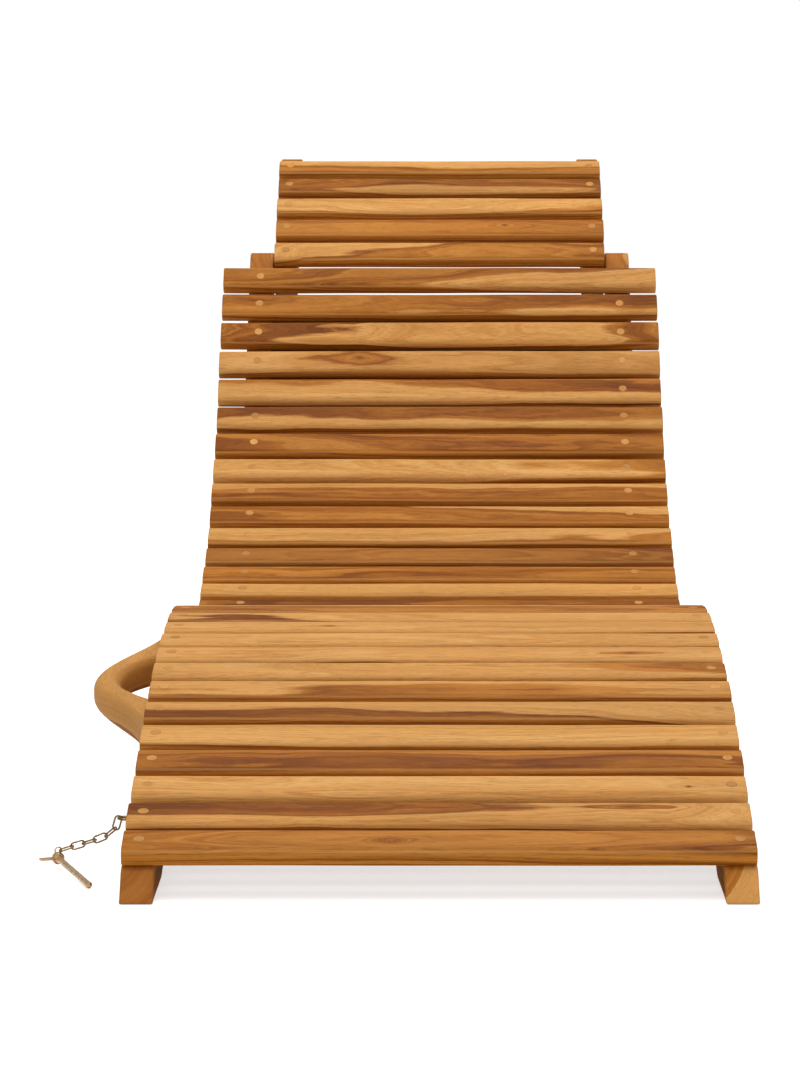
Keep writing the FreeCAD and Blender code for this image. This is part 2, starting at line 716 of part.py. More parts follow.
eye = Vector(-half_width - size("eye_radius") - 2 * size("eye_wire"), size("eye_along"), size("eye_height"))
eye_ring = Part.makeTorus(size("eye_radius"), size("eye_wire"), eye, Vector(0, 0, 1))
shank_start = eye + Vector(size("eye_radius"), 0, 0)
eye_shank = Part.makeCylinder(size("eye_wire"), size("eye_shank"), shank_start, Vector(1, 0, 0))
solids("chain_eye", [eye_ring.fuse(eye_shank).removeSplitter()])

chain_start = eye - Vector(size("eye_radius"), 0, 0)
chain_end = pin.Placement.multVec(lug_middle + Vector(size("lug_radius"), 0, 0))
start_pull = Vector(-4, -1, -19)
end_pull = Vector(29, 6, 9)
CHAIN_STEPS = 400


def chain_point(share):
    """A point of the hanging chain, by its share of the way from the eye to the lug."""
    rest = 1 - share
    near = chain_start * rest ** 3 + (chain_start + start_pull) * (3 * rest ** 2 * share)
    return near + (chain_end + end_pull) * (3 * rest * share ** 2) + chain_end * share ** 3


def link(middle, along, across):
    """An oval link: two half rings and two straight sides."""
    wire = size("link_wire")
    bend = size("link_width") / 2 - wire
    straight = size("link_length") - size("link_width")
    across = (across - along * across.dot(along)).normalize()
    pieces = []
    for end in (-1, 1):
        half = Part.makeTorus(bend, wire, Vector(), Vector(0, 0, 1), -180, 180, 180)
        turn = Rotation(across * end, along * end, across.cross(along), "ZXY")
        half.Placement = Placement(middle + along * (end * straight / 2), turn)
        side_start = middle + across * (end * bend) - along * (straight / 2)
        pieces += [half, Part.makeCylinder(wire, straight, side_start, along)]
    return pieces[0].fuse(pieces[1:]).removeSplitter()


trail = [chain_point(step / CHAIN_STEPS) for step in range(CHAIN_STEPS + 1)]
lengths = [0.0]
for first, second in zip(trail, trail[1:]):
    lengths.append(lengths[-1] + (second - first).Length)
half_link = size("link_length") / 2 - size("link_wire")
start_reach = half_link - size("eye_wire") - size("link_wire") - size("link_play")
end_reach = half_link - size("lug_wire") - size("link_wire") - size("link_play")
link_count = int(size("link_count"))
pitch = (lengths[-1] - start_reach - end_reach) / (link_count - 1)
links = []
for number in range(link_count):
    along_chain = start_reach + number * pitch
    step = min(range(CHAIN_STEPS), key=lambda index: abs(lengths[index] - along_chain))
    along = (trail[step + 1] - trail[step - 1]).normalize()
    if number == 0:
        along = (trail[step] - chain_start).normalize()
    if number == link_count - 1:
        along = (chain_end - trail[step]).normalize()
    links.append(link(trail[step], along, pin_axis if number % 2 else along.cross(Vector(0, 1, 0))))
solids("pin_chain", links)

# Checks and the sub-part files

doc.recompute()
for item in doc.Objects:
    if {"Invalid", "Error"} & set(item.State):
        raise RuntimeError("failed: " + item.Label)
    if item.TypeId == "PartDesign::Pocket" and item.Shape.Volume > item.BaseFeature.Shape.Volume - 1:
        raise RuntimeError("no cut: " + item.Label)
os.makedirs("parts", exist_ok=True)
for node in nodes:
    if node.Shape.isNull() or not node.Shape.isValid():
        raise RuntimeError("bad shape: " + node.Label)
    node.Shape.exportStep("parts/%s.step" % node.Label)
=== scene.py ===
import math

import bpy
import numpy as np
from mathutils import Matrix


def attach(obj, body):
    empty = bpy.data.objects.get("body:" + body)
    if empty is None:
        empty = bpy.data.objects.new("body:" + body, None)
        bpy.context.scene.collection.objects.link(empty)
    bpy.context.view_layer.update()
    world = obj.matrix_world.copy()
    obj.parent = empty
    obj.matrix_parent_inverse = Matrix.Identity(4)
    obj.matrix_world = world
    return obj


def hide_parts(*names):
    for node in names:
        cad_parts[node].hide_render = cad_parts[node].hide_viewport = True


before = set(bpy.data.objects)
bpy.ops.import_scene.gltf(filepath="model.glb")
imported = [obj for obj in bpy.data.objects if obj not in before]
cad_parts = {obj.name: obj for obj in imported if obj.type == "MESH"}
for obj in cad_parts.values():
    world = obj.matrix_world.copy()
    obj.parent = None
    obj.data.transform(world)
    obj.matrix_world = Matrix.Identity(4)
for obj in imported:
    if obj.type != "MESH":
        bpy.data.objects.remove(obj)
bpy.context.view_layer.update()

# Foot rails: two 29 mm teak boards, band-sawn to the wave of the seat, with a flat sole at the toe and a
# round boss on the seat hinge. Their edges are eased by sanding, the grain runs the length of the board,
# and the left one is bored through for the locking pin.

# Sizes are in mm and angles in degrees. The origin moves points of the drawing into the shared frame.
ORIGIN = np.array([39.9, -910.0, 0.0])
RAIL_DEPTH = 48.0
FOOT_OUTER = 275.0
FOOT_INNER = 246.0
FOOT_EASE = 2.2
SLOPE = 16.6
RAMP = 222.4
KNEE = np.array([627.3, 146.4])
KNEE_RADIUS = 1373.0
DROP_RADIUS = 350.0
DROP = 32.4
SEAT_RADIUS = 108.0
HINGE = np.array([876.0, 36.5])
BOSS = 37.5
FOOT_RAIL_END = 852.0
TOE_LEAD = 22.0
LOCK_PLACE = np.array([200.0, 42.0])
LOCK_RADIUS = 3.25
HOLE_SIDES = 24
ARC_POINTS = 90
EDGE_POINTS = 5
BOARD_LIVELINESS = 0.4
BOARD_WEAR = 0.6
# The middle of the board, the lean of its grain in degrees and its length.
FOOT_GRAIN = ((430, 70), 4, 880)
SAPWOOD_RADIUS = 60.0
# How far the rings stray from true circles, and how wide the heartwood's edge is, in metres.
RING_WANDER = 0.011
RING_WAVES = 0.0035
RING_RAGGED = 0.0018
BORDER_HALF = 0.0005
NOISE_MEAN = 0.5
STREAK_MEAN = 0.52
PORE_LEVEL = 0.46
PORE_BLUR = 0.12
PORE_SHARE = 0.65
PORE_DARKNESS = 0.5
HEARTWOOD_STOPS = [
    (0.20, (0.150, 0.036, 0.001)),
    (0.36, (0.280, 0.080, 0.004)),
    (0.50, (0.425, 0.148, 0.014)),
    (0.66, (0.540, 0.212, 0.032)),
    (0.80, (0.390, 0.128, 0.010)),
]
SAPWOOD_STOPS = [
    (0.26, (0.500, 0.206, 0.038)),
    (0.46, (0.640, 0.300, 0.074)),
    (0.70, (0.750, 0.390, 0.120)),
]
REDDISH = (0.450, 0.142, 0.040, 1.0)
KNOT_BROWN = (0.150, 0.040, 0.008, 1.0)
# The paler colour painted on edges: partly wear, and on the slats' top roundings partly a painted highlight.
PALE_WEAR_AND_HIGHLIGHT = (0.740, 0.420, 0.165, 1.0)


def polar(centre, radius, angle):
    """The points at a radius from a centre: radius times (cosine, sine), in degrees from +y towards +z."""
    turn = np.radians(angle)
    return np.stack([centre[0] + radius * np.cos(turn), centre[1] + radius * np.sin(turn)], axis=-1)


def arc(centre, radius, start, end):
    """An arc as points at even angles between its ends."""
    return polar(centre, radius, np.linspace(start, end, ARC_POINTS))


def upper_angle(radius, across):
    """The angle at which a circle's upper half stands at a distance across from its centre."""
    return math.degrees(math.acos(across / radius))


def eased(corners, spacing, ease):
    """A closed outline, counter-clockwise: straight runs between the corners, divided evenly, then every
    point averaged with its neighbours under a bell curve as wide as the easing."""
    closed = np.vstack([corners, corners[:1]])
    travelled = np.concatenate([[0.0], np.cumsum(np.hypot(*np.diff(closed, axis=0).T))])
    count = int(travelled[-1] / spacing)
    even = np.linspace(0, travelled[-1], count, endpoint=False)
    ring = np.stack([np.interp(even, travelled, closed[:, axis]) for axis in (0, 1)], axis=1)
    bell = np.exp(-2 * (np.pi * np.fft.rfftfreq(count, spacing) * ease) ** 2)
    ring = np.fft.irfft(np.fft.rfft(ring, axis=0) * bell[:, None], count, axis=0)
    following = np.roll(ring, -1, axis=0)
    area = np.sum(ring[:, 0] * following[:, 1] - ring[:, 1] * following[:, 0])
    return ring if area > 0 else ring[::-1]


def sawn(ring, low, high, ease, between=0):
    """A board: its outline carried across from the low to the high x. Next to each face the outline draws
    in along a quarter circle, which is the eased edge."""
    turn = np.linspace(0, np.pi / 2, EDGE_POINTS)
    reach = ease * (1 - np.cos(turn))
    inset = ease * (1 - np.sin(turn))
    middle = np.linspace(low + ease, high - ease, between + 2)[1:-1]
    across = np.concatenate([low + reach, middle, (high - reach)[::-1]])
    draw_in = np.concatenate([inset, 0 * middle, inset[::-1]])
    tangent = np.roll(ring, -1, axis=0) - np.roll(ring, 1, axis=0)
    outward = np.stack([tangent[:, 1], -tangent[:, 0]], axis=1)
    outward /= np.hypot(*outward.T)[:, None]
    rings = ring - draw_in[:, None, None] * outward
    return np.dstack([np.broadcast_to(across[:, None], rings.shape[:2]), rings])


def surface(grids):
    """Points, faces and smooth flags of grids that close around their second parameter. Each grid's last
    two faces are the flat caps at its ends."""
    points, faces, smooth = [], [], []
    start = 0
    for grid in grids:
        rows, columns = grid.shape[:2]
        index = start + np.arange(rows * columns).reshape(rows, columns)
        near, far = index[:-1], index[1:]
        quads = np.stack([near, np.roll(near, -1, 1), np.roll(far, -1, 1), far], axis=-1).reshape(-1, 4)
        caps = [index[0, ::-1].tolist(), index[-1].tolist()]
        points.append(grid.reshape(-1, 3))
        faces += quads.tolist() + caps
        smooth += [True] * len(quads) + [False] * len(caps)
        start += rows * columns
    return np.concatenate(points), faces, smooth


def piece(node, body, slot, finish, shape, **attributes):
    """A finished piece in place of a CAD node, with its attributes by point."""
    points, faces, smooth = shape
    mesh = bpy.data.meshes.new("fine_" + node)
    mesh.from_pydata((points + ORIGIN) / 1000, [], faces)
    mesh.polygons.foreach_set("use_smooth", smooth)
    kinds = {1: ("FLOAT", "value"), 3: ("FLOAT_VECTOR", "vector"), 4: ("FLOAT_COLOR", "color")}
    for label, values in attributes.items():
        kind, field = kinds[values.shape[1]]
        layer = mesh.attributes.new(label, kind, "POINT")
        layer.data.foreach_set(field, values.astype(np.float32).ravel())
    mesh.materials.append(finish)
    made = bpy.data.objects.new("fine_" + node, mesh)
    bpy.context.collection.objects.link(made)
    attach(made, body)
    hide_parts(node)


def log_place(along, across, depth, length, heart, start):
    """Where the wood of a plank grew, measured from the pith, in metres. The edge of the heartwood shows on
    the plank's top as a strip: its middle line shifts evenly from end to end, and its half-width follows a
    parabola through three values. A value below zero keeps the heartwood that far under the top."""
    share = 2 * along / length
    left, right, first, centre, last = heart
    middle = (left + right) / 2 + (right - left) / 2 * share
    half = centre + (last - first) / 2 * share + ((first + last) / 2 - centre) * share ** 2
    crown = np.sqrt(np.maximum(SAPWOOD_RADIUS ** 2 - half ** 2, 1.0))
    rise = np.where(half > 0, crown, SAPWOOD_RADIUS - half)
    return np.stack([along + start, across - middle, depth + rise], axis=-1) / 1000


class Shade:
    """A socket of a material's nodes, which takes part in sums as a number does."""

    def __init__(self, tree, socket=None):
        self.tree = tree
        self.socket = socket

    def node(self, kind, settings, sockets, output=0):
        """Adds a node: first its settings, with a ramp's stops, then the values or links of its sockets."""
        made = self.tree.nodes.new("ShaderNode" + kind)
        for name, setting in settings.items():
            if name == "stops":
                elements = made.color_ramp.elements
                while len(elements) < len(setting):
                    elements.new(1.0)
                for element, (position, colour) in zip(elements, setting):
                    element.position = position
                    element.color = (*colour, 1.0)
            else:
                setattr(made, name, setting)
        for name, value in sockets.items():
            if isinstance(value, Shade):
                self.tree.links.new(value.socket, made.inputs[name])
            else:
                made.inputs[name].default_value = value
        return Shade(self.tree, made.outputs[output] if made.outputs else None)

    def sum(self, operation, first, second):
        """One operation on two values."""
        return self.node("Math", {"operation": operation}, {0: first, 1: second})

    def __add__(self, other):
        return self.sum("ADD", self, other)

    def __sub__(self, other):
        return self.sum("SUBTRACT", self, other)

    def __rsub__(self, other):
        return self.sum("SUBTRACT", other, self)

    def __mul__(self, other):
        return self.sum("MULTIPLY", self, other)

    def __pow__(self, other):
        return self.sum("POWER", self, other)

    __radd__ = __add__
    __rmul__ = __mul__

    def step(self, low, high):
        """0 below low and 1 above high, with a smooth rise between them."""
        limits = {"Value": self, "From Min": low, "From Max": high}
        return self.node("MapRange", {"interpolation_type": "SMOOTHSTEP"}, limits)

    def mix(self, first, second, share):
        """A colour between two colours."""
        return self.node("Mix", {"data_type": "RGBA"}, {0: share, 6: first, 7: second}, 2)

    def scaled(self, factor):
        """A colour or vector times a value."""
        return self.node("VectorMath", {"operation": "SCALE"}, {0: self, 3: factor})

    def attribute(self, name, output):
        """A value that the mesh carries by point."""
        return self.node("Attribute", {"attribute_name": name}, {}, output)

    def parts(self, kind):
        """The three parts of a vector or a colour."""
        return [self.node("Separate" + kind, {}, {0: self}, part) for part in range(3)]

    def noise(self, scale, detail, roughness, **settings):
        """Cloudy noise over a place."""
        sockets = {"Vector": self, "Scale": scale, "Detail": detail, "Roughness": roughness}
        return self.node("TexNoise", settings, sockets)


def new_finish(name):
    """A material with an empty tree."""
    finish = bpy.data.materials.new(name)
    finish.use_nodes = True
    finish.node_tree.nodes.clear()
    return finish, Shade(finish.node_tree)


def teak():
    """Sanded teak, solid right through: growth rings by distance from the pith, dark streaks in the
    heartwood, pale sapwood outside it, rings that swell round a knot, fibres and pores along the grain, and
    edges painted paler, partly for wear and partly as a painted highlight along the slats' top roundings.
    Calm wood keeps its rings faint. Scales are in waves per metre."""
    finish, wood = new_finish("teak")
    place = wood.attribute("grain", "Vector")
    tint = wood.attribute("tint", "Color")
    lively = wood.attribute("tint", "Alpha")
    edge = wood.attribute("edge", "Fac")
    tone, red, streaky = tint.parts("Color")
    beside, above, strength = wood.attribute("knot", "Vector").parts("XYZ")
    run, aside, deep = place.parts("XYZ")

    def fibres(scale, detail, roughness):
        """Noise drawn out along the grain."""
        drawn = wood.node("VectorMath", {"operation": "MULTIPLY"}, {0: place, 1: scale})
        return drawn.noise(1.0, detail, roughness)

    def rings(across, along, detail, roughness):
        """Noise over the distance from the pith, which changes slowly along the grain."""
        spread = wood.node("CombineXYZ", {}, {0: radius * across, 1: run * along})
        return spread.noise(1.0, detail, roughness, noise_dimensions="2D")

    wander = fibres((2.2, 7.0, 7.0), detail=2.0, roughness=0.5)
    wavy = fibres((8.0, 16.0, 16.0), detail=1.0, roughness=0.5)
    ragged = fibres((22.0, 150.0, 150.0), detail=3.0, roughness=0.6)
    fleck = fibres((60.0, 1500.0, 1500.0), detail=2.0, roughness=0.6)
    cloud = fibres((5.0, 26.0, 26.0), detail=2.0, roughness=0.5)
    near = (beside * beside) ** 0.5 + above * above + (ragged - NOISE_MEAN) * 0.5
    swell = strength * wood.sum("POWER", math.e, near * -1.0)
    radius = (aside * aside + deep * deep) ** 0.5 + (wander - NOISE_MEAN) * RING_WANDER
    radius = radius + (wavy - NOISE_MEAN) * RING_WAVES + (ragged - NOISE_MEAN) * RING_RAGGED - swell
    band = rings(230.0, 0.9, detail=3.0, roughness=0.55)
    line = rings(1250.0, 3.0, detail=3.0, roughness=0.65)
    streaks = STREAK_MEAN + (band - STREAK_MEAN - streaky * 0.12 + (line - NOISE_MEAN) * 0.58) * lively
    paleness = NOISE_MEAN + (band * 0.5 + line * 0.75 - 0.625) * lively
    heart = wood.node("ValToRGB", {"stops": HEARTWOOD_STOPS}, {0: streaks})
    sap = wood.node("ValToRGB", {"stops": SAPWOOD_STOPS}, {0: paleness})
    border = SAPWOOD_RADIUS / 1000
    colour = wood.mix(heart, sap, radius.step(border - BORDER_HALF, border + BORDER_HALF))
    pores = (PORE_LEVEL - fleck).step(0.0, PORE_BLUR) * PORE_SHARE
    colour = wood.mix(colour, colour.scaled(PORE_DARKNESS), pores)
    colour = wood.mix(colour, REDDISH, red * (0.35 + cloud * 0.5))
    core = strength.step(0.0005, 0.001) * (1.0 - near.step(0.05, 0.30))
    colour = wood.mix(colour, KNOT_BROWN, core * (0.35 + line * 0.6))
    colour = colour.scaled(tone * (0.80 + cloud * 0.40))
    # Paler edges: wear on the boards' eased edges, and on the slats also a painted highlight along the top
    # roundings.
    colour = wood.mix(colour, PALE_WEAR_AND_HIGHLIGHT, edge.step(0.25, 1.0) * 0.30)
    relief = line * 0.5 + fleck * 0.5
    bump = wood.node("Bump", {}, {"Height": relief, "Distance": 0.0005, "Strength": 0.45})
    shine = {
        "Base Color": colour,
        "Roughness": 0.47 + fleck * 0.22,
        "Normal": bump,
        "Specular IOR Level": 0.12,
    }
    skin = wood.node("BsdfPrincipled", {}, shine)
    wood.node("OutputMaterial", {}, {0: skin})
    return finish


TEAK = teak()
knee_centre = KNEE - [0, KNEE_RADIUS]
drop_centre = KNEE - [0, DROP_RADIUS]
knee_start = polar(knee_centre, KNEE_RADIUS, 90 + SLOPE)
ramp_start = polar(knee_start, -RAMP, SLOPE)
seat_centre = polar(drop_centre, DROP_RADIUS + SEAT_RADIUS, 90 - DROP)
flat_turn = math.degrees(math.asin(HINGE[1] / BOSS))
under_start = polar(knee_centre, KNEE_RADIUS - RAIL_DEPTH, 90 + SLOPE)
sole_end = np.array([under_start[0] - under_start[1] / math.tan(math.radians(SLOPE)), 0])
seat_end = math.degrees(math.asin((FOOT_RAIL_END - seat_centre[0]) / SEAT_RADIUS))
foot_outline = eased(np.vstack([
    [ramp_start - [TOE_LEAD, ramp_start[1]], ramp_start],
    arc(knee_centre, KNEE_RADIUS, 90 + SLOPE, 90),
    arc(drop_centre, DROP_RADIUS, 90, 90 - DROP),
    arc(seat_centre, SEAT_RADIUS, -90 - DROP, seat_end - 90),
    arc(HINGE, BOSS, upper_angle(BOSS, FOOT_RAIL_END - HINGE[0]), -flat_turn),
    arc(HINGE, BOSS, 180 + flat_turn, 180),
    arc(drop_centre, DROP_RADIUS - RAIL_DEPTH, 90 - DROP, 90),
    arc(knee_centre, KNEE_RADIUS - RAIL_DEPTH, 90, 90 + SLOPE),
    [sole_end],
]), spacing=3.0, ease=1.6)


def bored(shape, centre):
    """A board with the lock hole across it: each face is parted in two along an upright line through the
    hole, and a wall of even strips joins the two circles."""
    points, faces, smooth = shape
    quarter = HOLE_SIDES // 4
    rim = polar(centre, LOCK_RADIUS, np.linspace(0, 360, HOLE_SIDES, endpoint=False))
    parted, circles = [], []
    for face in faces[-2:]:
        circle = len(points) + np.arange(HOLE_SIDES)
        points = np.vstack([points, np.insert(rim, 0, points[face[0], 0], axis=1)])
        aside, above = (points[face, 1:] - centre).T
        top = np.argmin(np.where(above > 0, np.abs(aside), np.inf))
        face, aside, above = np.roll(face, -top), np.roll(aside, -top), np.roll(above, -top)
        bottom = np.argmin(np.where(above < 0, np.abs(aside), np.inf))
        right = np.roll(circle, quarter)[:2 * quarter + 1]
        left = circle[quarter:3 * quarter + 1][::-1]
        first, second = (right, left) if aside[bottom // 2] > 0 else (left, right)
        parted.append(np.concatenate([face[:bottom + 1], first]).tolist())
        parted.append(np.concatenate([face[bottom:], face[:1], second[::-1]]).tolist())
        circles.append(circle)
    low, high = circles
    wall = np.stack([low, high, np.roll(high, -1), np.roll(low, -1)], axis=1).tolist()
    return points, faces[:-2] + parted + wall, smooth[:-2] + [False] * len(parted + wall)


def sawn_timber(node, body, outline, sides, ease, grain, heart, tint, start, hole=None):
    """A calm board in place of a node, from one side's x to the other's. Its grain runs along a line in the
    board's plane, through a middle point, that leans up from +y."""
    low, high = sides
    middle, lean, length = grain
    shape = surface([sawn(outline, low, high, ease)])
    if hole is not None:
        shape = bored(shape, hole)
    across, *out = shape[0].T
    out = np.stack(out, axis=1) - middle
    turn = math.radians(lean)
    along = out[:, 0] * math.cos(turn) + out[:, 1] * math.sin(turn)
    up = out[:, 1] * math.cos(turn) - out[:, 0] * math.sin(turn)
    wear = np.clip(1 - np.minimum(across - low, high - across) / ease, 0, 1) * BOARD_WEAR
    attributes = {
        "grain": log_place(along, up, across - high, length, heart, start),
        "tint": np.tile([*tint, BOARD_LIVELINESS], (len(across), 1)),
        "edge": wear[:, None],
    }
    piece(node, body, "teak", TEAK, shape, **attributes)


sawn_timber("foot_rail_left", "foot_section", foot_outline, (-FOOT_OUTER, -FOOT_INNER), FOOT_EASE, FOOT_GRAIN,
            heart=(0, 8, 44, 40, 44), tint=(0.92, 0.45, 0.2), start=3000, hole=LOCK_PLACE)
sawn_timber("foot_rail_right", "foot_section", foot_outline, (FOOT_INNER, FOOT_OUTER), FOOT_EASE, FOOT_GRAIN,
            heart=(6, -6, -14, 30, 42), tint=(1.08, 0.12, 0.3), start=5000)

# Foot slats: seventeen 42 by 17 mm teak slats across the foot rails, top edges rounded, each held by two
# screws under plugs. Every slat is cut from another place in the log, so heartwood and sapwood show
# differently. Fourteen show, and three at the seat are one piece.

FOOT_SLAT = 42.0
SLAT_HEIGHT = 17.0
SLAT_ROUNDING = 8.0
SLAT_BASE = 5.0
SLAT_EASE = 1.6
SLAT_TRIM = 1.1
SLAT_DIVISIONS = 22
# Heights and lengths in mm of the waves that sanding leaves, across the slat and on its top.
SWAYS = ((0.28, 83), (0.16, 31))
SWELLS = ((0.14, 61), (0.08, 23))
# Where the pale line sits on each slat's top rounding and how wide it is: a painted highlight where light
# catches the rounding, and partly wear.
WEAR_AND_HIGHLIGHT_DEPTH = 0.3 * SLAT_ROUNDING
WEAR_AND_HIGHLIGHT_REACH = 1.6
NO_KNOT = (0, 0, 1, 1, 0)
LOG_STEP = 1000.0
SEAT_GAP = 0.02
BEARING_POINTS = 17
FOOT_PITCH = 50.8
FOOT_FIRST = 25.0
FOOT_SHOWN = 14
FOOT_SEED = 11
knee_end = RAMP + KNEE_RADIUS * math.radians(SLOPE)
seat_start = knee_end + DROP_RADIUS * math.radians(DROP)


def foot_line(along):
    """The line that the foot slats bear on, by distance from its start: the ramp, the long knee, the drop
    behind it and the hollow of the seat."""
    turn = math.radians(SLOPE)
    ramp = ramp_start + along[:, None] * [math.cos(turn), math.sin(turn)]
    knee = polar(knee_centre, KNEE_RADIUS, 90 + np.degrees((knee_end - along) / KNEE_RADIUS))
    falling = polar(drop_centre, DROP_RADIUS, 90 + np.degrees((knee_end - along) / DROP_RADIUS))
    seat = polar(seat_centre, SEAT_RADIUS, np.degrees((along - seat_start) / SEAT_RADIUS) - DROP - 90)
    line = np.where((along < seat_start)[:, None], falling, seat)
    line = np.where((along < knee_end)[:, None], knee, line)
    return np.where((along < RAMP)[:, None], ramp, line)


def station(line, along, width):
    """Where a flat slat lies: on the line's chord, lifted until nothing of the line stands above it."""
    points = line(along + np.linspace(-width / 2, width / 2, BEARING_POINTS))
    chord = points[-1] - points[0]
    chord /= np.hypot(*chord)
    up = np.array([-chord[1], chord[0]])
    lift = np.max((points - points[0]) @ up)
    return (points[0] + points[-1]) / 2 + (lift + SEAT_GAP) * up, chord, up


def waves(along, sizes, phases):
    """A sum of waves: each height times the sine of the distance over its length plus its phase."""
    return sum(height * np.sin(along / length + phase) for (height, length), phase in zip(sizes, phases))


def slat(place, width, length, seed, heart, tint, knot=NO_KNOT, splay=0.0):
    """A slat's grid and attributes: a flat section, rounded at the top and less at the base, carried along,
    a little uneven as hand-sanded timber is, its ends trimmed up to a millimetre short. A knot has its
    place, its reach along and across the slat, and how far the rings swell round it. A splayed slat is that
    much wider at its right end."""
    middle, chord, up = place
    chance = np.random.default_rng(seed)
    trim = chance.uniform(0.0, SLAT_TRIM, 2)
    top = (width / 2 - SLAT_ROUNDING, SLAT_HEIGHT - SLAT_ROUNDING)
    base = (width / 2 - SLAT_BASE, SLAT_BASE)
    ring = eased(np.vstack([
        arc(base, SLAT_BASE, -90, 0),
        arc(top, SLAT_ROUNDING, 0, 90),
        arc((-top[0], top[1]), SLAT_ROUNDING, 90, 180),
        arc((-base[0], base[1]), SLAT_BASE, 180, 270),
    ]), spacing=1.3, ease=0.4)
    grid = sawn(ring, -length / 2 + trim[0], length / 2 - trim[1], SLAT_EASE, SLAT_DIVISIONS)
    along, across, depth = np.moveaxis(grid, 2, 0)
    phase = chance.uniform(0, 2 * np.pi, 4)
    sway = waves(along, SWAYS, phase[:2])
    swell = waves(along, SWELLS, phase[2:])
    grown = log_place(along, across, depth - SLAT_HEIGHT, length, heart, LOG_STEP * seed)
    uneven = across * (1 + splay / width * (along / length + 0.5)) + sway
    raised = depth + swell * depth / SLAT_HEIGHT
    lying = middle + uneven[..., None] * chord + raised[..., None] * up
    # Pale lines along both top roundings: a painted highlight where light catches the rounding, and partly
    # wear.
    off_side = np.abs(across) - width / 2 + WEAR_AND_HIGHLIGHT_DEPTH
    off_top = depth - SLAT_HEIGHT + WEAR_AND_HIGHLIGHT_DEPTH
    corner = np.exp(-(off_side / WEAR_AND_HIGHLIGHT_REACH) ** 2 - (off_top / WEAR_AND_HIGHLIGHT_REACH) ** 2)
    knot_along, knot_across, reach, spread, strength = knot
    knotted = np.dstack([
        (along - knot_along) / reach,
        (across - knot_across) / spread,
        0 * along + strength / 1000,
    ])
    attributes = {
        "grain": grown.reshape(-1, 3),
        "tint": np.tile([*tint, 1.0], (along.size, 1)),
        "edge": corner.reshape(-1, 1),
        "knot": knotted.reshape(-1, 3),
    }
    return np.dstack([along, lying]), attributes


def slats(node, body, made):
    """One piece of one or more slats in place of a node."""
    grids = [grid for grid, _ in made]
    attributes = {name: np.concatenate([given[name] for _, given in made]) for name in made[0][1]}
    piece(node, body, "teak", TEAK, surface(grids), **attributes)


# The strip of heartwood on each slat, from the toe: its middle at the left and right ends, and its
# half-width at the left, the middle and the right, in mm; then how light, how red and how streaky the slat
# is; and for some a knot: its place along and across, its reach along and across, and the swell of the
# rings round it, in mm.
FOOT_PLANKS = [
    ((0, 4, 30, 34, 26), (1.05, 0.06, 0.1), (-43, -3, 17, 6, 6)),
    ((8, 6, 17, 15, -8), (1.00, 0.08, 0.4), (167, 8, 26, 4, 9)),
    ((14, 14, -5, -7, -5), (1.05, 0.03, 0.2), (222, -5, 16, 5, 9)),
    ((-6, -8, 30, 32, 30), (1.03, 0.10, 0.0)),
    ((-20, -22, -2, -5, -4), (1.05, 0.02, 0.1)),
    ((-14, -20, 17, 7, -9), (0.97, 0.08, 0.6)),
    ((-8, -4, 2, 18, 0), (1.02, 0.05, 0.4)),
    ((10, 8, -7, 3, 19), (1.00, 0.08, 0.3)),
    ((-6, -8, -6, -5, -6), (1.04, 0.18, 0.1), (185, -5, 55, 7, 9)),
    ((6, 0, -4, -6, -2), (1.02, 0.05, 0.2)),
    ((-18, -18, -4, -6, -4), (1.02, 0.06, 0.3), (-109, -5, 26, 5, 9)),
    ((-4, -8, 4, -6, -4), (1.02, 0.08, 0.4)),
    ((0, 0, 24, 20, 30), (1.00, 0.10, 0.2)),
    ((10, -10, 10, -2, 14), (1.00, 0.05, 0.3)),
    ((0, 0, 34, 30, 34), (0.95, 0.15, 0.3)),
    ((5, -10, 24, 30, 14), (1.00, 0.10, 0.3)),
    ((0, 0, 34, 30, 34), (0.90, 0.15, 0.3)),
]
foot_places = [
    station(foot_line, FOOT_FIRST + FOOT_PITCH * number, FOOT_SLAT)
    for number in range(len(FOOT_PLANKS))
]
foot_slats = [
    slat(place, FOOT_SLAT, 2 * FOOT_OUTER, FOOT_SEED + number, *plank)
    for number, (place, plank) in enumerate(zip(foot_places, FOOT_PLANKS))
]
for number in range(FOOT_SHOWN):
    slats("foot_slat_%02d" % (number + 1), "foot_section", foot_slats[number:number + 1])
slats("seat_slats", "foot_section", foot_slats[FOOT_SHOWN:])

# Back rails: two 30 mm teak boards inside the foot rails, a hollow arc from the seat hinge that runs out
# straight past the headrest's bolts and ends round. The left one has the hole that meets the foot rail's
# lock hole when the back is folded.

BACK_OUTER = 242.0
BACK_INNER = 212.0
BACK_EASE = 2.0
BACK_RADIUS = 796.0
BACK_LEAN = 47.5
BACK_RUN = 178.0
BACK_OVERRUN = 11.0
BACK_RAIL_END = 862.0
BACK_FOLD = 204.0
BACK_GRAIN = ((1240, 230), 29, 860)
back_centre = np.array([HINGE[0], seat_centre[1] - SEAT_RADIUS + BACK_RADIUS])
back_under = BACK_RADIUS + RAIL_DEPTH
arc_end = polar(back_centre, BACK_RADIUS + RAIL_DEPTH / 2, BACK_LEAN - 90)
head_pivot = polar(arc_end, BACK_RUN, BACK_LEAN)
rise = back_centre[1] - HINGE[1]
join_turn = math.degrees(math.asin((BOSS ** 2 + rise ** 2 - back_under ** 2) / (2 * rise * BOSS)))
join = polar(HINGE, BOSS, join_turn) - back_centre
under_end = math.degrees(math.atan2(join[1], join[0]))
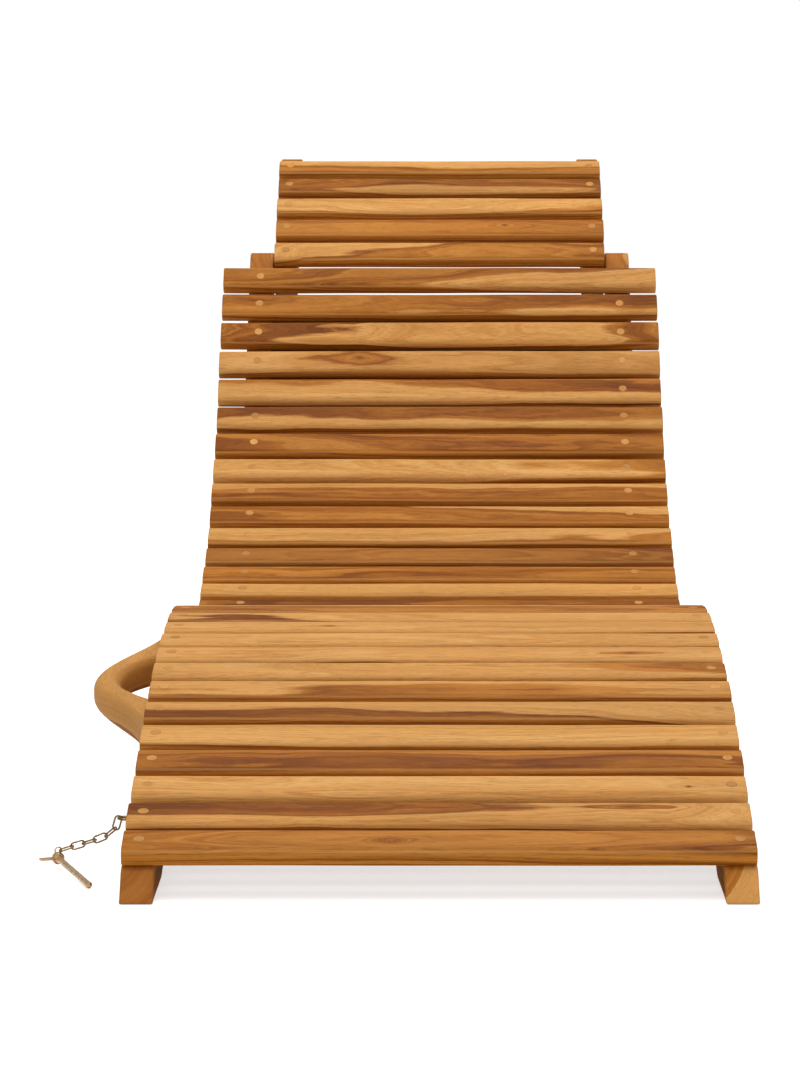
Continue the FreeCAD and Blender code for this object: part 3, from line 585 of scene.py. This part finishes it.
back_outline = eased(np.vstack([
    arc(back_centre, BACK_RADIUS, -upper_angle(BACK_RADIUS, BACK_RAIL_END - HINGE[0]), BACK_LEAN - 90),
    arc(polar(head_pivot, BACK_OVERRUN, BACK_LEAN), RAIL_DEPTH / 2, BACK_LEAN + 90, BACK_LEAN - 90),
    arc(back_centre, back_under, BACK_LEAN - 90, under_end),
    arc(HINGE, BOSS, join_turn, -flat_turn),
    arc(HINGE, BOSS, 180 + flat_turn, upper_angle(BOSS, BACK_RAIL_END - HINGE[0])),
]), spacing=3.0, ease=1.4)
lock_away = LOCK_PLACE - HINGE
lock_turn = math.degrees(math.atan2(lock_away[1], lock_away[0]))
open_lock = polar(HINGE, np.hypot(*lock_away), lock_turn + BACK_FOLD)
sawn_timber("back_rail_left", "back_section", back_outline, (-BACK_OUTER, -BACK_INNER), BACK_EASE, BACK_GRAIN,
            heart=(0, 4, 44, 42, 34), tint=(0.92, 0.30, 0.4), start=7000, hole=open_lock)
sawn_timber("back_rail_right", "back_section", back_outline, (BACK_INNER, BACK_OUTER), BACK_EASE, BACK_GRAIN,
            heart=(4, -6, 40, 44, 42), tint=(0.95, 0.30, 0.3), start=9000)

# Back slats: eighteen slats of the same make on the back rails, but 36 mm wide, fifteen that show and three
# below them that the knee hides. The top one is planed a little narrower, the lower ones are a shade wider,
# and four near the top are splayed, so that they close up at their right ends.

BACK_SLAT = 36.0
TOP_SLAT = 34.4
TOP_SLAT_DROP = 1.3
LOWER_SLAT = 36.8
SPLAY = 2.8
BACK_PITCH = 45.67
BACK_FIRST = 809.5
BACK_SHOWN = 15
BACK_SEED = 41
SEAT_PITCH = 51.0


def back_line(along):
    """The line that the back slats bear on: the hollow arc from its lowest point, then its straight top."""
    tilt = np.minimum(np.degrees(along / BACK_RADIUS), BACK_LEAN)
    turn = np.radians(tilt)
    past = along - BACK_RADIUS * turn
    straight = np.stack([np.cos(turn), np.sin(turn)], axis=1)
    return polar(back_centre, BACK_RADIUS, tilt - 90) + past[:, None] * straight


# As for the foot slats, from the top slat down.
BACK_PLANKS = [
    ((6, 22, 28, 18, -2), (0.98, 0.08, 0.3)),
    ((7, 7, 26, 22, 18), (0.96, 0.08, 0.3)),
    ((4, 6, 26, -4, 24), (1.00, 0.05, 0.2)),
    ((0, -6, -3, -1, -4), (0.90, 0.20, 0.5), (-100, 4, 30, 8, 4)),
    ((15, 13, 11, 11, 10), (0.98, 0.10, 0.2)),
    ((8, 6, 20, 15, 14), (0.92, 0.10, 0.6)),
    ((-4, -8, 30, 24, 20), (1.00, 0.12, 0.3)),
    ((8, 2, -9, -5, 17), (0.98, 0.02, 0.2)),
    ((-14, -10, 12, 15, 12), (1.00, 0.10, 0.4)),
    ((-8, -14, 26, 22, 14), (1.00, 0.10, 0.1)),
    ((-20, -10, 4, 6, 16), (1.03, 0.06, 0.2)),
    ((0, -6, 30, 32, 22), (0.80, 0.25, 0.7)),
    ((-8, -12, 22, 20, 22), (1.08, 0.08, 0.0)),
    ((-20, -18, -2, -4, -3), (1.03, 0.04, 0.1)),
    ((0, 0, 34, 32, 34), (0.92, 0.16, 0.3)),
    ((0, 0, 34, 30, 34), (0.95, 0.15, 0.3)),
    ((5, -10, 24, 30, 14), (1.00, 0.10, 0.3)),
    ((0, 0, 34, 30, 34), (0.90, 0.15, 0.3)),
]
back_alongs = [BACK_FIRST - BACK_PITCH * number for number in range(BACK_SHOWN)]
back_alongs += [back_alongs[-1] - SEAT_PITCH * number for number in (1, 2, 3)]
back_alongs[0] -= TOP_SLAT_DROP
back_places = [station(back_line, along, BACK_SLAT) for along in back_alongs]
# The narrow top slat, three of the full width and the wider ones below; the third to sixth are splayed.
back_widths = [TOP_SLAT] + [BACK_SLAT] * 3 + [LOWER_SLAT] * 14
back_splays = [0.0] * 2 + [SPLAY] * 4 + [0.0] * 12
back_made = zip(back_places, back_widths, BACK_PLANKS, back_splays)
back_slats = [
    slat(place, width, 2 * FOOT_OUTER, BACK_SEED + number, *plank, splay=splay)
    for number, (place, width, plank, splay) in enumerate(back_made)
]
for number in range(BACK_SHOWN):
    slats("back_slat_%02d" % (number + 1), "back_section", back_slats[number:number + 1])
slats("lower_back_slats", "back_section", back_slats[BACK_SHOWN:])

# Headrest: two short crowned teak rails that turn on bolts between the back rails, and five shorter slats
# of the same make screwed on them.

HEAD_OUTER = 210.0
HEAD_INNER = 182.0
HEAD_EASE = 2.0
HEAD_RADIUS = 975.0
HEAD_SLOPE = 38.6
HEAD_RAIL = 251.0
HEAD_GRAIN = ((1705, 505), 31, 260)
HEAD_PITCH = 47.0
HEAD_FIRST = 9.0
HEAD_LENGTH = 422.0
HEAD_SEED = 71
head_centre = polar(head_pivot, HEAD_RADIUS - RAIL_DEPTH / 2, HEAD_SLOPE - 90)
head_under = HEAD_RADIUS - RAIL_DEPTH
head_start = 90 + HEAD_SLOPE
head_end = head_start - math.degrees(HEAD_RAIL / HEAD_RADIUS)
head_outline = eased(np.vstack([
    arc(head_centre, HEAD_RADIUS, head_start, head_end),
    arc(head_centre, head_under, head_end, head_start),
    arc(head_pivot, RAIL_DEPTH / 2, head_start + 180, head_start),
]), spacing=2.0, ease=2.2)
sawn_timber("head_rail_left", "headrest", head_outline, (-HEAD_OUTER, -HEAD_INNER), HEAD_EASE, HEAD_GRAIN,
            heart=(0, 4, 44, 42, 40), tint=(0.92, 0.25, 0.3), start=11000)
sawn_timber("head_rail_right", "headrest", head_outline, (HEAD_INNER, HEAD_OUTER), HEAD_EASE, HEAD_GRAIN,
            heart=(0, -4, 42, 44, 40), tint=(0.95, 0.20, 0.3), start=13000)


def head_line(along):
    """The line that the headrest's slats bear on: one crowned arc, measured from the pivot."""
    return polar(head_centre, HEAD_RADIUS, head_start - np.degrees(along / HEAD_RADIUS))


# As for the foot slats, from the pivot up.
HEAD_PLANKS = [
    ((-10, -4, -6, 17, 20), (1.00, 0.05, 0.2)),
    ((-2, -4, 30, 30, 28), (1.00, 0.10, 0.3), (84, 2, 15, 6, 6)),
    ((-16, -16, 4, -4, 8), (1.03, 0.05, 0.2)),
    ((8, 10, 26, 13, 22), (0.90, 0.12, 0.5)),
    ((-14, -16, 8, 4, 8), (1.02, 0.05, 0.3)),
]
head_places = [
    station(head_line, HEAD_FIRST + HEAD_PITCH * number, BACK_SLAT)
    for number in range(len(HEAD_PLANKS))
]
for number, (place, plank) in enumerate(zip(head_places, HEAD_PLANKS)):
    made = slat(place, BACK_SLAT, HEAD_LENGTH, HEAD_SEED + number, *plank)
    slats("head_slat_%d" % (number + 1), "headrest", [made])

# Rear legs: two straight teak legs with round heads on bolts inside the back rails, a crossbar between
# them, two stop blocks screwed to the back rails that the legs lean on, and a wide brace between the rails
# higher up.

LEG_STATION = 36.0
LEG_REACH = 75.0
LEG_INNER = 184.0
LEG_EASE = 2.0
LEG_LENGTH = 260
HALF_LEG = 18.0
CROSSBAR = (34.0, 20.0)
CROSSBAR_LIFT = 60.0
STOP = 20.0
STOP_GAP = 0.4
STOP_DROP = 3.0
BRACE = (158.0, 16.0)
BRACE_STATION = 700.0
BRACE_DROP = 18.0
SQUARE_EASE = 1.5
SQUARE_DIVISIONS = 6
leg_pivot = polar(back_centre, BACK_RADIUS + RAIL_DEPTH / 2, LEG_STATION - 90)
leg_foot = np.array([leg_pivot[0] + LEG_REACH, 0.0])
leg_turn = math.degrees(math.atan2(-leg_pivot[1], LEG_REACH))
half_sole = HALF_LEG / math.sin(math.radians(-leg_turn))
leg_grain = ((leg_pivot + leg_foot) / 2, leg_turn, LEG_LENGTH)
leg_outline = eased(np.vstack([
    arc(leg_pivot, HALF_LEG, leg_turn + 270, leg_turn + 90),
    [leg_foot + [half_sole, 0], leg_foot - [half_sole, 0]],
]), spacing=2.5, ease=1.2)
sawn_timber("rear_leg_left", "rear_legs", leg_outline, (-HEAD_OUTER, -LEG_INNER), LEG_EASE, leg_grain,
            heart=(0, 4, 40, 30, 36), tint=(0.98, 0.20, 0.3), start=15000)
sawn_timber("rear_leg_right", "rear_legs", leg_outline, (LEG_INNER, HEAD_OUTER), LEG_EASE, leg_grain,
            heart=(4, -8, 30, 36, 20), tint=(1.00, 0.18, 0.3), start=17000)


def square_timber(corner, lean, size, sides, heart, tint, seed):
    """A square timber across the lounger: a rectangle that leans up from +y, carried from one side's x to
    the other's."""
    width, height = size
    low, high = sides
    turn = math.radians(lean)
    chord = np.array([math.cos(turn), math.sin(turn)])
    up = np.array([-chord[1], chord[0]])
    ring = eased(np.array([(0, 0), (width, 0), (width, height), (0, height)]), spacing=1.5, ease=0.9)
    grid = sawn(ring, low, high, SQUARE_EASE, SQUARE_DIVISIONS)
    along, across, depth = np.moveaxis(grid, 2, 0)
    lying = corner + across[..., None] * chord + depth[..., None] * up
    centred = along - (low + high) / 2
    grown = log_place(centred, across - width / 2, depth - height, high - low, heart, LOG_STEP * seed)
    attributes = {
        "grain": grown.reshape(-1, 3),
        "tint": np.tile([*tint, 1.0], (along.size, 1)),
        "edge": np.zeros((along.size, 1)),
    }
    return np.dstack([along, lying]), attributes


bar_corner = polar(leg_foot, -CROSSBAR_LIFT - CROSSBAR[0] / 2, leg_turn)
bar_corner = polar(bar_corner, -CROSSBAR[1] / 2, leg_turn + 90)
slats("leg_crossbar", "rear_legs", [
    square_timber(bar_corner, leg_turn, CROSSBAR, (-LEG_INNER, LEG_INNER),
                  heart=(0, 6, 30, 20, 26), tint=(1.0, 0.12, 0.3), seed=91),
])
stop_corner = polar(leg_pivot, STOP_DROP - STOP / 2, leg_turn)
stop_corner = polar(stop_corner, HALF_LEG + STOP_GAP, leg_turn + 90)
slats("leg_stops", "back_section", [
    square_timber(stop_corner, leg_turn, (STOP, STOP), sides,
                  heart=(0, 0, 30, 30, 30), tint=(0.95, 0.15, 0.3), seed=seed)
    for sides, seed in (((-BACK_INNER, -LEG_INNER), 92), ((LEG_INNER, BACK_INNER), 93))
])

brace_foot = back_line(np.array([BRACE_STATION - BRACE[0] / 2]))[0]
brace_corner = polar(brace_foot, -BRACE_DROP - BRACE[1], BACK_LEAN + 90)
slats("back_brace", "back_section", [
    square_timber(brace_corner, BACK_LEAN, BRACE, (-BACK_INNER, BACK_INNER),
                  heart=(0, 0, 50, 44, 50), tint=(0.85, 0.15, 0.3), seed=94),
])

# Carry handle: a smooth bell-shaped bow carved from one piece of teak, with well rounded edges and feet that
# flare out along the rail, screwed to the outer face of the left foot rail through the rail.

HANDLE_ALONG = 434.0
HANDLE_DROP = 22.0
HANDLE_REACH = 61.0
HANDLE_HALF = 158.0
HANDLE_THICKNESS = 32.0
HANDLE_ROUNDING = 12.6
HANDLE_TINT = (0.90, 0.10, 0.0, 0.45)
HANDLE_HEART = (0, 6, -20, -24, -20)
HANDLE_START = 19000.0
GRIP_HALF = 65.0
GRIP_GAP = 34.0
# How far the middle of the grown wood lies out from the rail, and its top over the bow's middle plane.
GRAIN_MIDDLE = 30
GRAIN_TOP = 13
BOW_POINTS = 61
CORNER_POINTS = 9

bow_along = np.linspace(-HANDLE_HALF, HANDLE_HALF, BOW_POINTS)
bow_reach = -HANDLE_REACH / 2 * (1 + np.cos(np.pi * bow_along / HANDLE_HALF))
outer_bow = np.stack([bow_reach, bow_along], axis=1)
grip_radius = (GRIP_HALF ** 2 + GRIP_GAP ** 2) / (2 * GRIP_GAP)
grip_turn = math.degrees(math.asin(GRIP_HALF / grip_radius))
grip_angles = np.linspace(180 + grip_turn, 180 - grip_turn, BOW_POINTS)
inner_bow = polar((grip_radius - GRIP_GAP, 0), grip_radius, grip_angles)
spine = (outer_bow + inner_bow) / 2
spread = (outer_bow - inner_bow) / 2
half_width = np.hypot(*spread.T)[:, None]
around = np.radians([np.linspace(start, start + 90, CORNER_POINTS) for start in (0, 90, 180, 270)]).ravel()
wide_side = np.repeat([1, -1, -1, 1], CORNER_POINTS)
thick_side = np.repeat([1, 1, -1, -1], CORNER_POINTS)
wide = wide_side * (half_width - HANDLE_ROUNDING) + HANDLE_ROUNDING * np.cos(around)
thick = thick_side * (HANDLE_THICKNESS / 2 - HANDLE_ROUNDING) + HANDLE_ROUNDING * np.sin(around)
flat_bow = spine[:, None] + (wide / half_width)[..., None] * spread[:, None]
out, along = np.moveaxis(flat_bow, 2, 0)
lift = np.broadcast_to(thick, out.shape)
handle_turn = math.asin((knee_centre[0] - HANDLE_ALONG) / KNEE_RADIUS)
handle_place = polar(knee_centre, KNEE_RADIUS - HANDLE_DROP, 90 + math.degrees(handle_turn))
handle_grid = np.dstack([
    out - FOOT_OUTER,
    handle_place[0] + along * math.cos(handle_turn) - lift * math.sin(handle_turn),
    handle_place[1] + along * math.sin(handle_turn) + lift * math.cos(handle_turn),
])
handle_grown = log_place(
    along, out + GRAIN_MIDDLE, lift - GRAIN_TOP, 2 * HANDLE_HALF, HANDLE_HEART, HANDLE_START,
)
piece(
    "carry_handle", "foot_section", "teak", TEAK, surface([handle_grid]),
    grain=handle_grown.reshape(-1, 3),
    tint=np.tile(HANDLE_TINT, (lift.size, 1)),
    edge=np.zeros((lift.size, 1)),
)

# Plugs: 10 mm discs of paler teak glued over the screw heads and sanded flush, two to a slat, each with its
# own grain direction and a thin dark glue line round it.

# The radius and height over the slat of each ring of a plug, and how light the plug is there.
PLUG_RINGS = np.array([
    (5.0, -3.0), (5.0, -0.2), (4.95, 0.04), (4.7, 0.16), (4.0, 0.22), (2.4, 0.26), (0.8, 0.27),
])
PLUG_TONES = np.array([0.4, 0.45, 0.6, 0.95, 1.0, 1.0, 1.0])
PLUG_SIDES = 24
PLUG_WIDTH = 10.0
PLUG_HEART = (30, 30, -2, -2, -2)
PLUG_LIGHT = (0.78, 1.10)
PLUG_RED = (0.05, 0.5)
PLUG_STREAKS = 0.2
PLUG_LIVELINESS = 0.6
LOG_LENGTH = 9000
plug_around = np.linspace(0, 2 * np.pi, PLUG_SIDES, endpoint=False)
plug_across = PLUG_RINGS[:, :1] * np.cos(plug_around)
plug_along = PLUG_RINGS[:, :1] * np.sin(plug_around)
plug_height = np.broadcast_to(PLUG_RINGS[:, 1:], plug_across.shape)
plug_shades = np.repeat(PLUG_TONES, PLUG_SIDES)[:, None]


def plugs(node, body, places, screw_line, seed):
    """Low domes on the slats' tops, their rims just under the surface."""
    chance = np.random.default_rng(seed)
    grids, grown, tints = [], [], []
    for middle, chord, up in places:
        lying = middle + plug_along[..., None] * chord + (SLAT_HEIGHT + plug_height)[..., None] * up
        for side in (-1, 1):
            grids.append(np.dstack([side * screw_line + plug_across, lying]))
            turn = chance.uniform(0, np.pi)
            turned = plug_across * math.cos(turn) + plug_along * math.sin(turn)
            aside = plug_along * math.cos(turn) - plug_across * math.sin(turn)
            start = chance.uniform(0, LOG_LENGTH)
            grown.append(log_place(turned, aside, plug_height, PLUG_WIDTH, PLUG_HEART, start).reshape(-1, 3))
            tone = chance.uniform(*PLUG_LIGHT) * plug_shades
            rest = (chance.uniform(*PLUG_RED), PLUG_STREAKS, PLUG_LIVELINESS)
            tints.append(np.hstack([tone, np.tile(rest, (len(tone), 1))]))
    grown = np.concatenate(grown)
    attributes = {"grain": grown, "tint": np.concatenate(tints), "edge": np.zeros((len(grown), 1))}
    piece(node, body, "plug", TEAK, surface(grids), **attributes)


plugs("foot_plugs", "foot_section", foot_places, (FOOT_OUTER + FOOT_INNER) / 2, seed=201)
plugs("back_plugs", "back_section", back_places, (BACK_OUTER + BACK_INNER) / 2, seed=202)
plugs("head_plugs", "headrest", head_places, (HEAD_OUTER + HEAD_INNER) / 2, seed=203)

# Bolts and screws: brass pivot bolts at the seat, the legs and the headrest, and the wood screws that the
# plugs hide. They are lacquered, dulled by handling and a little darker in patches.


def brass(name, bright, tarnished, rough):
    """Dull lacquered brass: cloudy tarnish over a warm metal, rougher where it is tarnished."""
    finish, metal = new_finish(name)
    place = metal.node("TexCoord", {}, {}, "Object")
    cloud = place.noise(260.0, detail=4.0, roughness=0.6)
    scuff = place.noise(1900.0, detail=3.0, roughness=0.6)
    tarnish = cloud.step(0.42, 0.66)
    colour = metal.mix((*bright, 1.0), (*tarnished, 1.0), tarnish * 0.8)
    bump = metal.node("Bump", {}, {"Height": scuff, "Distance": 0.0002, "Strength": 0.3})
    shine = {
        "Base Color": colour,
        "Metallic": 0.9,
        "Roughness": rough + tarnish * 0.2 + scuff * 0.1,
        "Normal": bump,
    }
    skin = metal.node("BsdfPrincipled", {}, shine)
    metal.node("OutputMaterial", {}, {0: skin})
    return finish


BRASS = brass("brass", bright=(0.56, 0.37, 0.17), tarnished=(0.22, 0.12, 0.045), rough=0.30)
for node in ("foot_screws", "back_screws", "head_screws", "seat_bolts", "leg_bolts", "headrest_bolts"):
    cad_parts[node].material_slots[0].material = BRASS

# Locking pin: a brass pin on a short chain of wire links from a screw eye in the left foot rail. The chain
# has gone dark from weather, and the pin is rubbed bright and a little pink.

OLD_BRASS = brass("old_brass", bright=(0.34, 0.23, 0.10), tarnished=(0.12, 0.075, 0.03), rough=0.30)
PIN_BRASS = brass("pin_brass", bright=(0.80, 0.56, 0.32), tarnished=(0.46, 0.28, 0.11), rough=0.12)
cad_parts["chain_eye"].material_slots[0].material = OLD_BRASS
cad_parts["pin_chain"].material_slots[0].material = OLD_BRASS
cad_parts["locking_pin"].material_slots[0].material = PIN_BRASS

# Studio: a plain pale floor, white to the camera, soft light from above and in front, and the camera low at
# the foot end, with the lounger a little right of the middle of the frame.

CAMERA_PLACE = (0.0399, -3.930, 0.7023)
CAMERA_TILT = 7.2
FOCAL_PIXELS = 3600.0
FRAME_HEIGHT = 1067.0
FRAME_SHIFT = 39.5
SENSOR = 36.0
WHITE = (1.0, 1.0, 1.0, 1.0)
FLOOR_GREY = (0.86, 0.86, 0.86, 1.0)
FLOOR_GLOW = 0.62
FLOOR_LEVEL = -0.0005
FLOOR_CORNERS = ((-30, -8), (30, -8), (30, 60), (-30, 60))
AMBIENT = 0.46
AMBIENT_SEEN = 0.54

floor_finish, ground = new_finish("pale_floor")
matte = ground.node("BsdfDiffuse", {}, {"Color": FLOOR_GREY})
seen = ground.node("LightPath", {}, {}, "Is Camera Ray")
glow = ground.node("Emission", {}, {"Color": WHITE, "Strength": seen * FLOOR_GLOW})
both = ground.node("AddShader", {}, {0: matte, 1: glow})
ground.node("OutputMaterial", {}, {0: both})
floor_mesh = bpy.data.meshes.new("floor")
floor_mesh.from_pydata([(*corner, FLOOR_LEVEL) for corner in FLOOR_CORNERS], [], [(0, 1, 2, 3)])
floor_mesh.materials.append(floor_finish)
floor = bpy.data.objects.new("floor", floor_mesh)
bpy.context.collection.objects.link(floor)

world = bpy.data.worlds.new("studio")
bpy.context.scene.world = world
world.use_nodes = True
world.node_tree.nodes.clear()
sky = Shade(world.node_tree)
direct = sky.node("LightPath", {}, {}, "Is Camera Ray")
ambient = sky.node("Background", {}, {"Color": WHITE, "Strength": AMBIENT + direct * AMBIENT_SEEN})
sky.node("OutputWorld", {}, {0: ambient})


def softbox(name, place, target, width, power):
    """A square area lamp that faces a point."""
    lamp = bpy.data.lights.new(name, "AREA")
    lamp.shape = "SQUARE"
    lamp.size = width
    lamp.energy = power
    made = bpy.data.objects.new(name, lamp)
    bpy.context.collection.objects.link(made)
    aim = np.array(target) - np.array(place)
    level = math.hypot(aim[0], aim[1])
    made.location = place
    made.rotation_euler = (math.atan2(level, -aim[2]), 0.0, math.atan2(aim[1], aim[0]) - math.pi / 2)


softbox("key", place=(-0.5, -0.4, 3.8), target=(0.04, 0.0, 0.3), width=2.4, power=58.0)
softbox("top", place=(0.6, 0.9, 3.7), target=(0.04, 0.1, 0.3), width=2.4, power=40.0)
softbox("fill", place=(0.0, -4.4, 0.7), target=(0.04, 0.2, 0.3), width=2.0, power=30.0)

camera = bpy.data.cameras.new("camera")
camera.sensor_width = SENSOR
camera.lens = FOCAL_PIXELS * SENSOR / FRAME_HEIGHT
camera.shift_x = -FRAME_SHIFT / FRAME_HEIGHT
viewer = bpy.data.objects.new("camera", camera)
viewer.location = CAMERA_PLACE
viewer.rotation_euler = (math.radians(90 - CAMERA_TILT), 0.0, 0.0)
bpy.context.collection.objects.link(viewer)
bpy.context.scene.camera = viewer
bpy.context.scene.view_settings.view_transform = "Standard"
